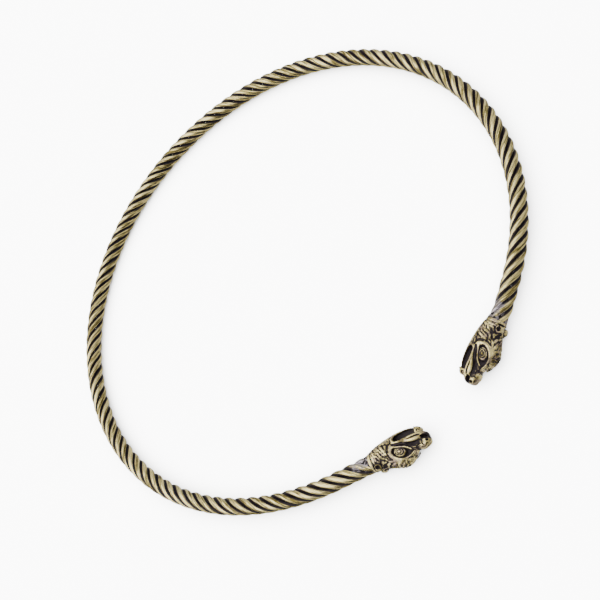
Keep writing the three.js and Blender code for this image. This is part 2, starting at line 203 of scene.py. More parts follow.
def drawn_bronze():
    material = bpy.data.materials.new("drawn_bronze_black_patina")
    material.use_nodes = True
    tree = material.node_tree
    surface = tree.nodes["Principled BSDF"]
    place = add_node(tree, "ShaderNodeAttribute", {}, attribute_name="drawn").outputs["Vector"]
    hollow = add_node(tree, "ShaderNodeAttribute", {}, attribute_name="hollow").outputs["Fac"]
    smear = add_node(tree, "ShaderNodeAttribute", {}, attribute_name="smear").outputs["Fac"]
    lines = add_node(tree, "ShaderNodeTexNoise", {
        "Vector": place, "Scale": LINES_PER_RADIUS, "Detail": 6.0, "Roughness": 0.65})
    streaks = add_node(tree, "ShaderNodeTexNoise", {
        "Vector": place, "Scale": STREAKS_PER_RADIUS, "Detail": 5.0, "Roughness": 0.7})
    blotch = add_node(tree, "ShaderNodeTexNoise", {
        "Vector": place, "Scale": BLOTCHES_PER_RADIUS, "Detail": 4.0, "Roughness": 0.6})
    dull = add_node(tree, "ShaderNodeMath", {
        0: blotch.outputs["Fac"], 1: 0.45, 2: streaks.outputs["Fac"]}, operation="MULTIPLY_ADD")
    tarnish = add_node(tree, "ShaderNodeMapRange", {
        "Value": dull.outputs["Value"], "From Min": 0.65, "From Max": 0.82},
        interpolation_type="SMOOTHSTEP")
    bronze = add_node(tree, "ShaderNodeMix", {
        "Factor": tarnish.outputs["Result"], "A": linear("#fbe8a0"), "B": linear("#665a2b")},
        data_type="RGBA")
    ragged = add_node(tree, "ShaderNodeMath", {
        0: streaks.outputs["Fac"], 1: 0.26, 2: hollow}, operation="MULTIPLY_ADD")
    patina = add_node(tree, "ShaderNodeMapRange", {
        "Value": ragged.outputs["Value"], "From Min": 0.33, "From Max": 0.43},
        interpolation_type="SMOOTHSTEP")
    aged = add_node(tree, "ShaderNodeMix", {
        "Factor": patina.outputs["Result"], "A": bronze.outputs["Result"], "B": linear("#151012")},
        data_type="RGBA")
    in_space = add_node(tree, "ShaderNodeTexCoord", {}).outputs["Object"]
    mottle = add_node(tree, "ShaderNodeTexNoise", {
        "Vector": in_space, "Scale": 1000 / MOTTLE_GRAIN, "Detail": 4.0, "Roughness": 0.7})
    ran = add_node(tree, "ShaderNodeMath", {
        0: mottle.outputs["Fac"], 1: 1.5, 2: smear}, operation="MULTIPLY_ADD")
    tinned = add_node(tree, "ShaderNodeMapRange", {
        "Value": ran.outputs["Value"], "From Min": 1.1, "From Max": 1.4, "To Max": 0.85},
        interpolation_type="SMOOTHSTEP")
    dross = add_node(tree, "ShaderNodeMapRange", {
        "Value": streaks.outputs["Fac"], "From Min": 0.45, "From Max": 0.6},
        interpolation_type="SMOOTHSTEP")
    tin = add_node(tree, "ShaderNodeMix", {
        "Factor": dross.outputs["Result"], "A": linear("#938b90"), "B": linear("#2a2528")},
        data_type="RGBA")
    colour = add_node(tree, "ShaderNodeMix", {
        "Factor": tinned.outputs["Result"], "A": aged.outputs["Result"], "B": tin.outputs["Result"]},
        data_type="RGBA")
    metal = add_node(tree, "ShaderNodeMapRange", {
        "Value": patina.outputs["Result"], "To Min": 1.0, "To Max": 0.7})
    coated = add_node(tree, "ShaderNodeMath", {
        0: patina.outputs["Result"], 1: tinned.outputs["Result"]}, operation="MAXIMUM")
    rough = add_node(tree, "ShaderNodeMapRange", {
        "Value": coated.outputs["Value"], "To Min": 0.17, "To Max": 0.5})
    ridges = add_node(tree, "ShaderNodeBump", {
        "Strength": 1.0, "Distance": 0.00012, "Height": streaks.outputs["Fac"]})
    bump = add_node(tree, "ShaderNodeBump", {
        "Strength": 0.6, "Distance": 0.00005, "Height": lines.outputs["Fac"],
        "Normal": ridges.outputs["Normal"]})
    tree.links.new(colour.outputs["Result"], surface.inputs["Base Color"])
    tree.links.new(metal.outputs["Result"], surface.inputs["Metallic"])
    tree.links.new(rough.outputs["Result"], surface.inputs["Roughness"])
    tree.links.new(bump.outputs["Normal"], surface.inputs["Normal"])
    return material


def strip_faces(rows, sides):
    """Quads between rows of points that each go once round."""
    first = (np.arange(rows - 1)[:, None] * sides + np.arange(sides)).ravel()
    beside = (np.arange(rows - 1)[:, None] * sides + (np.arange(sides) + 1) % sides).ravel()
    return np.stack([first, beside, beside + sides, first + sides], -1)


# The wires run round the cable's middle line. The smear is strongest on the side towards the middle of the
# ring, and fades out over its last few millimetres.
SMEAR_FADE = 3
SMEAR_SHARE = 0.6
SMEAR_FALL = 0.2
WAY_REACH = 0.3
steps = round(cable_length / LAY_LENGTH * WIRE_STEPS_PER_TURN)
distance = np.linspace(0, cable_length, steps + 1)
behind = along_cable(np.clip(distance - WAY_REACH, 0, cable_length))
ahead = along_cable(np.clip(distance + WAY_REACH, 0, cable_length))
cable_way = unit(ahead - behind)
cable_out = np.stack([-cable_way[:, 1], cable_way[:, 0], 0 * distance], -1)
upward = np.array([0.0, 0, 1])
around = np.linspace(0, 2 * math.pi, WIRE_SIDES, endpoint=False)
bearing = np.minimum(around, 2 * math.pi - around) / math.pi
hollow = np.tile(bearing, steps + 1)
cable_from_centre = np.linalg.norm(along_cable(distance), axis=1)
from_end = np.minimum(distance, cable_length - distance) - SOCKET_REACH
flowed = np.repeat(np.clip((SMEAR_REACH - from_end) / SMEAR_FADE, 0, 1), WIRE_SIDES)
last = steps * WIRE_SIDES
wire_ends = [list(range(WIRE_SIDES))[::-1], list(range(last, last + WIRE_SIDES))]
wire_faces = strip_faces(steps + 1, WIRE_SIDES).tolist() + wire_ends
wire_finish = drawn_bronze()
for index in range(WIRE_COUNT):
    turn = 2 * math.pi * (distance / LAY_LENGTH + index / WIRE_COUNT)
    from_middle = cable_out * np.cos(turn)[:, None] + upward * np.sin(turn)[:, None]
    wire_line = along_cable(distance) + TWIST_RADIUS * from_middle
    wire_way = unit(np.gradient(wire_line, axis=0))
    across = unit(np.cross(wire_way, from_middle))
    outmost = np.cross(across, wire_way)
    outwards = outmost[:, None] * np.cos(around)[None, :, None]
    sideways = across[:, None] * np.sin(around)[None, :, None]
    points = (wire_line[:, None] + WIRE_RADIUS * (outwards + sideways)).reshape(-1, 3)
    pattern_place = distance / PATTERN_STRETCH + index * PATTERN_SHIFT
    drawn = np.stack([
        np.tile(np.cos(around), steps + 1), np.tile(np.sin(around), steps + 1),
        np.repeat(pattern_place, WIRE_SIDES)], -1)
    further_out = np.linalg.norm(points, axis=1) - np.repeat(cable_from_centre, WIRE_SIDES)
    smear = flowed * np.clip(SMEAR_SHARE - SMEAR_FALL * further_out, 0, 1)
    values = {"hollow": hollow, "drawn": drawn, "smear": smear}
    piece = mesh_piece(f"round_wire_{index + 1}", points, wire_faces, values, wire_finish)
    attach(piece, "root")
    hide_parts(f"wire_{index + 1}")


# The two beast's heads: solid castings in leaded bronze from one mould, one soldered on each end of the
# wires, the jaws towards the middle of the ring. Each is worked out as a lump of clay, to which forms are
# added and in which lines are cut, the same on both cheeks.

# The clay is held on a fine grid, as the distance to its surface. Sizes are in millimetres: x from the neck
# rim to the nose, y from the jaw to the crest, and z from the middle to a cheek. Each station of the skull
# gives its place along x, its lowest and highest y, and half its width.
CLAY_GRAIN = 0.1
CLAY_BOX = ((-0.2, 18.2), (-5.3, 5.4), (0, 4.1))
JOIN_REACH = 0.6
SKULL = [
    (-1.0, -2.6, 2.5, 2.55), (0.0, -2.65, 2.5, 2.55), (1.0, -3.05, 2.5, 2.7), (2.8, -3.6, 2.7, 2.95),
    (4.9, -3.95, 3.4, 3.2), (6.9, -4.2, 4.35, 3.35), (8.7, -4.35, 4.9, 3.4), (10.5, -4.3, 4.6, 3.2),
    (12.3, -4.1, 2.9, 2.75), (13.7, -3.75, 2.1, 2.35), (14.9, -2.9, 2.0, 2.05), (15.9, -1.8, 1.9, 1.7),
    (16.8, -1.2, 1.65, 1.3), (17.5, -0.8, 1.3, 0.8), (18.2, 0.3, 1.0, 0.3),
]
NOSE_END = 17.25
NOSE_ROUNDING = 0.8
CROWN_LOWEST = 0.5

grid_x, grid_y, grid_z = (np.arange(low, high, CLAY_GRAIN) for low, high in CLAY_BOX)
X, Y, Z = np.meshgrid(grid_x, grid_y, grid_z, indexing="ij")


def station(column):
    """One size of the skull along its length, with its corners rounded off."""
    table = np.array(SKULL)
    shifts = np.linspace(-0.7, 0.7, 7)
    spread = [np.interp(grid_x + shift, table[:, 0], table[:, column]) for shift in shifts]
    return np.mean(spread, axis=0)[:, None, None]


def egg_distance(u, v, w, sizes):
    """Nearly the distance to an ellipsoid's surface."""
    a, b, c = sizes
    scaled = np.sqrt((u / a) ** 2 + (v / b) ** 2 + (w / c) ** 2)
    steepness = np.sqrt((u / a ** 2) ** 2 + (v / b ** 2) ** 2 + (w / c ** 2) ** 2)
    return np.maximum(scaled, 1e-3) * (scaled - 1) / np.maximum(steepness, 1e-3)


def merge(a, b, soft):
    """Two distances joined, with their meeting rounded off over the soft length."""
    near = np.maximum(soft - np.abs(a - b), 0) / soft
    return np.minimum(a, b) - near * near * soft / 4


jaw, crest, half = station(1), station(2), station(3)
clay = egg_distance(0, Y - (jaw + crest) / 2, Z, (1, (crest - jaw) / 2, half))
clay = -merge(-clay, NOSE_END - X, NOSE_ROUNDING)
clay = np.maximum(clay, -X)
hull = clay.copy()


def work(low, high, distance, soft, cut):
    """Adds or cuts one form, in the part of the grid that it reaches."""
    ranges = []
    for axis, grid in enumerate((grid_x, grid_y, grid_z)):
        first, last = np.searchsorted(grid, [low[axis] - JOIN_REACH, high[axis] + JOIN_REACH])
        ranges.append(slice(first, last))
    part = tuple(ranges)
    form = distance(X[part], Y[part], Z[part], part)
    clay[part] = -merge(-clay[part], form, soft) if cut else merge(clay[part], form, soft)


def lump(place, sizes, turn=0.0, soft=0.25, cut=False):
    """An egg-shaped form, with its half-sizes along, across and out of the cheek before its turn in it."""
    place = np.array(place)
    cosine, sine = math.cos(turn), math.sin(turn)

    def distance(x, y, z, part):
        dx, dy = x - place[0], y - place[1]
        return egg_distance(dx * cosine + dy * sine, dy * cosine - dx * sine, z - place[2], sizes)

    work(place - max(sizes), place + max(sizes), distance, soft, cut)


def smooth_line(points, per_span=6):
    """More points on a smooth line through a few."""
    points = np.array(points, float)
    padded = np.concatenate([[2 * points[0] - points[1]], points, [2 * points[-1] - points[-2]]])
    line = []
    for i in range(len(points) - 1):
        a, b, c, d = padded[i:i + 4]
        for t in np.linspace(0, 1, per_span, endpoint=False):
            line.append(0.5 * (2 * b + (c - a) * t + (2 * a - 5 * b + 4 * c - d) * t ** 2
                               + (3 * b - a - 3 * c + d) * t ** 3))
    return np.array(line + [points[-1]])


def rope(points, radii, soft=0.15, cut=False, lift=0.0, crown=False):
    """A rounded band or groove. Points with x, y and z are where it runs; points with two lie on the skin,
    on the cheek, or on the crown where they are x and z, and then it stands the lift above the skin."""
    line = smooth_line(points)
    sizes = smooth_line(np.array(radii, float)[:, None])[:, 0]
    on_skin = line.shape[1] == 2
    reach = sizes.max()

    def distance(x, y, z, part):
        coordinates = [x, z] if crown else [x, y]
        if not on_skin:
            coordinates = [x, y, z]
        nearest = np.full(x.shape, 1e3)
        for start, end, r_start, r_end in zip(line[:-1], line[1:], sizes[:-1], sizes[1:]):
            way = end - start
            offsets = [c - s for c, s in zip(coordinates, start)]
            t = sum(o * w for o, w in zip(offsets, way)) / max(way @ way, 1e-9)
            t = np.clip(t, 0, 1)
            square = sum((o - t * w) ** 2 for o, w in zip(offsets, way))
            if on_skin:
                square = square + (skin[part] - lift) ** 2
            nearest = np.minimum(nearest, np.sqrt(square) - (r_start + t * (r_end - r_start)))
        return nearest

    low, high = line.min(axis=0) - reach, line.max(axis=0) + reach
    if on_skin and crown:
        low, high = (low[0], CROWN_LOWEST, low[1]), (high[0], CLAY_BOX[1][1], high[1])
    elif on_skin:
        low, high = (*low, CLAY_BOX[2][0]), (*high, CLAY_BOX[2][1])
    work(low, high, distance, soft, cut)


def patch(x, y, centre, sizes, turn=0.0):
    """1 inside an oval on the cheek, falling to 0 across its rim."""
    cosine, sine = math.cos(turn), math.sin(turn)
    u = (x - centre[0]) * cosine + (y - centre[1]) * sine
    v = (y - centre[1]) * cosine - (x - centre[0]) * sine
    return np.clip((1.0 - np.sqrt((u / sizes[0]) ** 2 + (v / sizes[1]) ** 2)) * 3 + 0.5, 0, 1)


# The big forms: the eye's socket, the muzzle and nose, the brow ridge, the lips, the chin, the ear, a tuft
# and the neck's rim. A lump has its middle, its half-sizes and its turn; a band has the points it runs by.
SOCKET = (9.75, 1.75, 3.6), (2.95, 1.75, 1.5), 0.45
SOCKET_FLOOR = (9.75, 1.75, 2.7), (2.7, 1.5, 0.9), 0.45
MUZZLE_SIDE = (13.4, 1.15, 3.1), (2.5, 1.0, 1.25), 0.12
NOSE = (15.9, 1.05, 0.65), (1.25, 1.15, 1.15), 0.1
NOSE_BRIDGE = (14.6, 1.8, 0.5), (1.5, 0.75, 1.1), 0.1
FOREHEAD = (11.5, 2.5, 0.0), (1.2, 0.95, 1.7), -0.4
CHIN = (14.9, -2.7, 0.4), (1.1, 0.7, 1.3), 0.45
EAR = (2.0, 2.1, 1.5), (1.25, 1.1, 1.3), 0.3
CHEEK_TUFT = (4.2, -1.0, 2.6), (1.2, 0.9, 0.85), -0.4
BROW = [(7.35, -0.95, 3.05), (6.85, 0.0, 3.15), (6.75, 1.2, 3.1), (7.25, 2.2, 2.85), (8.5, 3.0, 2.5),
        (10.1, 3.4, 2.25), (11.6, 3.15, 2.0), (12.6, 2.5, 1.7)]
UPPER_LIP = [(8.0, -2.6, 3.0), (8.4, -1.5, 3.05), (9.6, -1.1, 3.05), (11.2, -0.95, 2.95),
             (13.0, -1.1, 2.55), (14.6, -1.25, 1.95), (15.4, -1.2, 1.45)]
FLEWS = [(11.2, -0.6, 2.85), (12.6, -0.3, 2.6), (14.2, -0.15, 2.15), (15.4, -0.1, 1.5)]
NECK_RIM = [(0.6, 2.6, 0), (0.6, 1.84, 1.84), (0.6, 0, 2.6), (0.6, -1.84, 1.84), (0.6, -2.6, 0)]
lump(*SOCKET, soft=0.1, cut=True)
lump(*SOCKET_FLOOR, soft=0.1, cut=True)
lump(*MUZZLE_SIDE, soft=0.25, cut=True)
lump(*NOSE, soft=0.3)
lump(*NOSE_BRIDGE, soft=0.3)
rope(BROW, [0.2, 0.28, 0.28, 0.18, 0.14, 0.14, 0.16, 0.2], 0.08)
lump(*FOREHEAD, soft=0.3)
rope(UPPER_LIP, [0.16, 0.22, 0.26, 0.3, 0.34, 0.32, 0.28], 0.12)
rope(FLEWS, [0.2, 0.45, 0.6, 0.42], 0.12)
lump(*CHIN, soft=0.3)
lump(*EAR, soft=0.2)
lump(*CHEEK_TUFT, soft=0.2)
rope(NECK_RIM, [0.17] * 5, 0.12)

# The eye: a ball with rings round it, above a thin lower lid
EYE = (9.15, 1.35, 2.3)
EYE_SIZES = (1.75, 1.3, 0.95)
EYE_TURN = 0.5
RING_SIZES = ((1.2, 0.2), (0.62, 0.22))
RING_FLATNESS = 0.74
RING_POINTS = 13
lump(EYE, EYE_SIZES, EYE_TURN, 0.08)
eye_rings = []
for ring_size, ring_depth in RING_SIZES:
    loop = []
    for angle in np.linspace(0, 2 * math.pi, RING_POINTS):
        u, v = ring_size * math.cos(angle), RING_FLATNESS * ring_size * math.sin(angle)
        rise = EYE_SIZES[2] * math.sqrt(max(1 - (u / EYE_SIZES[0]) ** 2 - (v / EYE_SIZES[1]) ** 2, 0))
        loop.append((EYE[0] + u * math.cos(EYE_TURN) - v * math.sin(EYE_TURN),
                     EYE[1] + u * math.sin(EYE_TURN) + v * math.cos(EYE_TURN), EYE[2] + rise))
    rope(loop, [ring_depth] * RING_POINTS, 0.05, cut=True)
    eye_rings.append(loop)
LID = [(7.6, -0.35, 3.0), (8.8, 0.0, 3.05), (10.0, 0.4, 2.95), (11.2, 1.0, 2.75), (12.2, 1.9, 2.3)]
rope(LID, [0.14, 0.17, 0.17, 0.17, 0.16], 0.08)

# Grooves and creases, cut along the skin: under the eye, between lip and flews, behind the brow, wrinkles
# on the muzzle, behind the nose and the mouth, round the tuft, and inside the neck's rim
skin = clay.copy()
BLACK_BAND = [(7.9, -1.0), (8.4, -0.75), (9.6, -0.4), (10.8, -0.05), (12.0, 0.35), (13.4, 0.6),
              (15.2, 0.55)]
rope(BLACK_BAND, [0.34, 0.4, 0.44, 0.46, 0.38, 0.26, 0.2], 0.06, cut=True)
LIP_GROOVE = [(12.2, -0.75), (13.8, -0.72), (15.4, -0.75)]
rope(LIP_GROOVE, [0.1, 0.19, 0.17], 0.08, cut=True)
BROW_CREASE = [(7.5, -1.65), (6.7, -1.4), (6.2, -0.5), (5.95, 0.5), (6.0, 1.4), (6.6, 2.5)]
rope(BROW_CREASE, [0.34, 0.36, 0.38, 0.36, 0.28, 0.16], 0.06, cut=True)
WRINKLES = (
    ((12.5, 0.8), (14.9, 0.95), 0.16), ((12.6, 1.25), (14.7, 1.4), 0.16), ((12.5, 1.7), (14.5, 1.85), 0.15),
    ((12.9, 2.15), (14.4, 2.25), 0.12), ((13.1, 0.6), (13.5, 1.9), 0.12), ((14.0, 0.6), (14.2, 1.9), 0.12),
)
WRINKLE_BEND = 0.12
for start, end, width in WRINKLES:
    middle = ((start[0] + end[0]) / 2, (start[1] + end[1]) / 2 + WRINKLE_BEND)
    rope([start, middle, end], [width * 0.7, width, width * 0.7], 0.06, cut=True)
NOSE_CREASE = [(15.3, 0.75), (15.1, 1.5), (15.4, 2.2)]
rope(NOSE_CREASE, [0.12, 0.16, 0.12], 0.06, cut=True)
MOUTH_CREASE = [(7.6, -2.2), (7.45, -2.9), (7.7, -3.5)]
rope(MOUTH_CREASE, [0.2, 0.2, 0.14], 0.06, cut=True)
TUFT_CREASE = [(3.3, -0.5), (3.4, -1.2), (4.1, -1.55), (4.8, -1.15), (4.5, -0.7)]
rope(TUFT_CREASE, [0.12, 0.16, 0.16, 0.14, 0.1], 0.05, cut=True)
RIM_GROOVE = [(1.0, 2.6), (1.0, 0), (1.0, -2.6)]
rope(RIM_GROOVE, [0.2, 0.2, 0.2], 0.06, cut=True)

# Hair: locks in slanting rows on the cheek and neck, an oval tuft behind the brow, three lines of tufts on
# the crown, and a few locks on the jaw. Neighbours head different ways.
LOCK_CURL = 0.14


def lock(x, y, heading, length, width, crown=False):
    """One lock of hair: a tapered ridge that curls a little, with a parting cut along both its sides."""
    along = np.array([math.cos(heading), math.sin(heading)])
    aside = np.array([-along[1], along[0]])
    start = np.array([x, y])
    spine = []
    for t in (0, 0.35, 0.7, 1):
        curl = LOCK_CURL * math.sin(math.pi * t)
        spine.append(start + length * t * along + length * curl * aside)
    for shift in (-1, 1):
        parting = [point + shift * 1.2 * width * aside for point in spine]
        rope(parting, [0.06, 0.19, 0.17, 0.05], 0.1, cut=True, crown=crown)
    rope(spine, [0.5 * width, width, 0.8 * width, 0.3 * width], 0.2, lift=-0.4 * width, crown=crown)


for row in range(3):
    for place in range(4):
        x = 1.5 + 1.5 * row + 0.2 * place
        y = -2.75 + 0.98 * place - 0.1 * row
        lock(x, y, 1.0 - 0.25 * ((row + place) % 3), 1.5, 0.36)
BROW_TUFT = ((4.2, 0.9), (5.0, 1.2), (3.9, 1.75), (4.7, 2.1), (5.5, 2.3), (4.5, 2.9), (5.4, 3.1))
for place, (x, y) in enumerate(BROW_TUFT):
    lock(x, y, 1.2 if place % 2 else 0.4, 1.1, 0.3)
for place in range(9):
    lock(3.0 + 1.0 * place, 0.3, 0.9 if place % 2 else 0.3, 1.15, 0.3, crown=True)
for place in range(3):
    lock(3.2 + 1.3 * place, 1.35, 0.9 - 0.3 * place, 1.3, 0.32, crown=True)
for place in range(4):
    lock(7.2 + 1.05 * place, 1.0, 0.3 if place % 2 else 0.9, 1.1, 0.28, crown=True)
for place in range(2):
    lock(5.2 + 0.95 * place, -3.1 + 0.3 * place, 0.75, 1.5, 0.36)

# Holes: the open mouth down to a web in the middle, the fang that bars it, the ear, the nostril, and the
# gap under the nose
MOUTH_REACH = (9.3, 14.1)
WEB_HALF = 0.45
FANG = [(14.5, -1.3, 1.75), (14.65, -2.3, 1.7), (14.5, -3.2, 1.4)]
MOUTH_FRONT = (15.25, -2.0, 1.9), (0.35, 0.55, 0.7), 0.1
EAR_HOLE = (2.0, 2.35, 2.6), (0.62, 0.5, 0.9), 0.3
NOSTRIL = (16.5, 1.2, 1.35), (0.34, 0.3, 0.5), 0.3
NOSE_GAP = (16.1, 0.0, 1.4), (1.0, 0.5, 1.2), 0.2
slot_x = np.clip(X, *MOUTH_REACH)
slot_middle = np.interp(X, [8.3, 11, 14.7], [-2.35, -2.5, -2.3])
slot_half = np.interp(X, [8.3, 10.5, 14.6], [1.05, 1.1, 0.85])
slot = np.hypot(X - slot_x, Y - slot_middle) - slot_half
clay[...] = -merge(-clay, np.maximum(slot, WEB_HALF - Z), 0.12)
rope(FANG, [0.24, 0.26, 0.24], 0.08)
lump(*MOUTH_FRONT, soft=0.08, cut=True)
lump(*EAR_HOLE, soft=0.12, cut=True)
lump(*NOSTRIL, soft=0.08, cut=True)
lump(*NOSE_GAP, soft=0.12, cut=True)


def surface_net(field, first):
    """The surface of a field as points, one in each grid cell that it crosses, and quads between them."""
    shape = tuple(n - 1 for n in field.shape)
    total = np.zeros(shape + (3,))
    count = np.zeros(shape)
    crossings = []
    for axis in range(3):
        near = np.take(field, range(0, field.shape[axis] - 1), axis)
        far = np.take(field, range(1, field.shape[axis]), axis)
        crossed = (near < 0) != (far < 0)
        share = np.where(crossed, near / np.where(crossed, near - far, 1), 0)
        crossings.append((crossed, near < 0))
        others = [a for a in range(3) if a != axis]
        for step_a in (0, 1):
            for step_b in (0, 1):
                window = [slice(None)] * 3
                window[others[0]] = slice(step_a, step_a + shape[others[0]])
                window[others[1]] = slice(step_b, step_b + shape[others[1]])
                window = tuple(window)
                total[..., axis] += share[window]
                total[..., others[0]] += step_a * crossed[window]
                total[..., others[1]] += step_b * crossed[window]
                count += crossed[window]
    used = count > 0
    number = np.full(shape, -1)
    number[used] = np.arange(used.sum())
    cells = np.argwhere(used)
    points = first + CLAY_GRAIN * (cells + total[used] / count[used][:, None])
    faces = []
    for axis, (crossed, starts_inside) in enumerate(crossings):
        others = [a for a in range(3) if a != axis]
        inner = [slice(None)] * 3
        inner[others[0]] = slice(1, -1)
        inner[others[1]] = slice(1, -1)
        places = np.argwhere(crossed[tuple(inner)]) + [int(a != axis) for a in range(3)]
        outward_first = starts_inside[tuple(places.T)]
        corners = []
        for step_a, step_b in ((-1, -1), (0, -1), (0, 0), (-1, 0)):
            cell = places.copy()
            cell[:, others[0]] += step_a
            cell[:, others[1]] += step_b
            corners.append(number[tuple(cell.T)])
        quads = np.stack(corners, -1)
        forwards = outward_first if axis != 1 else ~outward_first
        faces.append(np.where(forwards[:, None], quads, quads[:, ::-1]))
    return points, np.concatenate(faces)


def sample(field, points, first):
    """The field's value between grid points."""
    place = np.clip((points - first) / CLAY_GRAIN, 0, np.array(field.shape) - 1.001)
    low = place.astype(int)
    share = place - low
    value = 0
    for corner in np.ndindex(2, 2, 2):
        weight = np.prod(np.where(corner, share, 1 - share), axis=1)
        value = value + weight * field[tuple((low + corner).T)]
    return value


def beside(points, half_width):
    """1 on the head's points that lie within half a width of a line on the cheek, falling to 0 outside."""
    line = smooth_line([point[:2] for point in points])
    nearest = np.full(len(head_points), 1e3)
    for start, end in zip(line[:-1], line[1:]):
        way = end - start
        offset = head_points[:, :2] - start
        t = np.clip(offset @ way / (way @ way), 0, 1)
        nearest = np.minimum(nearest, np.linalg.norm(offset - t[:, None] * way, axis=1))
    return np.clip((half_width - nearest) / 0.2 + 0.5, 0, 1)


# Both cheeks, made from the one, and their patina with painted shade. A point is painted the darker the
# more the metal round it shuts it in, as shade falls there. The recesses are painted dark too, partly
# patina and partly shade, but not what is raised in them; so are a few darker patches, among them a painted
# shadow behind the ear, and the deep holes.
whole = np.concatenate([clay[:, :, :0:-1], clay], axis=2)
whole[:, :, [0, -1]] = 1
first = np.array([grid_x[0], grid_y[0], -grid_z[-1]])
head_points, head_faces = surface_net(whole, first)
slopes = np.gradient(whole, CLAY_GRAIN)
head_normals = unit(np.stack([sample(slope, head_points, first) for slope in slopes], -1) + 1e-9)
# Painted shade, over patina: the less open space round a point at three reaches, the darker it is painted
head_patina_and_shade = np.zeros(len(head_points))
for reach, weight in ((0.25, 0.3), (0.6, 0.35), (1.2, 0.35)):
    open_share = sample(whole, head_points + head_normals * reach, first) / reach
    head_patina_and_shade += weight * np.clip(1 - open_share, 0, 1)
whole_hull = np.concatenate([hull[:, :, :0:-1], hull], axis=2)
sunk = -sample(whole_hull, head_points, first)
RECESS_DARK = 0.6
RECESS_DEPTH = 0.15
RING_DARK = 0.7
HOLE_DEPTH = 0.35
SOCKET_DARK = (9.8, 1.6), (2.95, 1.8), 0.45
EYE_BRIGHT = EYE[:2], (1.65, 1.2), EYE_TURN
# Darker patches painted on the cheek: behind the ear a painted shadow, in the gap under the nose painted
# shade, and on the muzzle and beside the nose darker patches
DARK_PATCHES_AND_SHADE = {
    "nape": ((3.0, 2.1), (2.7, 1.8), 0.2), "muzzle": ((13.6, 1.2), (1.8, 1.2), 0.16),
    "under_nose": ((16.9, -0.1), (1.6, 0.9), 0.4), "nose_side": ((16.2, 0.8), (1.0, 0.9), 0.24),
}
x, y = head_points[:, 0], head_points[:, 1]
# Painted shade, partly patina: the eye's socket, the band under the eye and the crease behind the brow are
# painted dark
recess = RECESS_DARK * np.clip((sunk - RECESS_DEPTH) * 2.5, 0, 1)
for share in (patch(x, y, *SOCKET_DARK), beside(BLACK_BAND[:5], 0.36), beside(BROW_CREASE, 0.24)):
    recess = np.maximum(recess, RECESS_DARK * share)
recess *= 1 - 0.9 * patch(x, y, *EYE_BRIGHT)
for raised, half_width in ((LID, 0.12), (BROW[:4], 0.2), (BROW[3:], 0.08), (UPPER_LIP, 0.2)):
    recess *= 1 - beside(raised, half_width)
for loop in eye_rings:
    recess = np.maximum(recess, RING_DARK * beside(loop, 0.1))
head_patina_and_shade = np.maximum(head_patina_and_shade, recess)
# The patches are added to the painted shade and patina
for centre, sizes, darker in DARK_PATCHES_AND_SHADE.values():
    head_patina_and_shade += darker * patch(x, y, centre, sizes)
# Painted shade: points deep in the holes, in the mouth, the ear and the nostril, are painted black by their
# depth
head_patina_and_shade = np.maximum(head_patina_and_shade, np.clip(sunk - HOLE_DEPTH, 0, 1))


# Cast bronze, aged: rubbed to pale straw on every high place, tarnished olive in blotches, with a rosy
# bloom here and there, and black in the carving and the holes, partly patina and partly painted shade. The
# skin keeps the small pits and dull grain of a casting. The sizes are those of the patterns, in
# millimetres.
CAST_GRAIN = 0.45
CAST_WEAR = 1.3
BLOOM_SIZE = 1.7
TARNISH_SIZE = 2.6


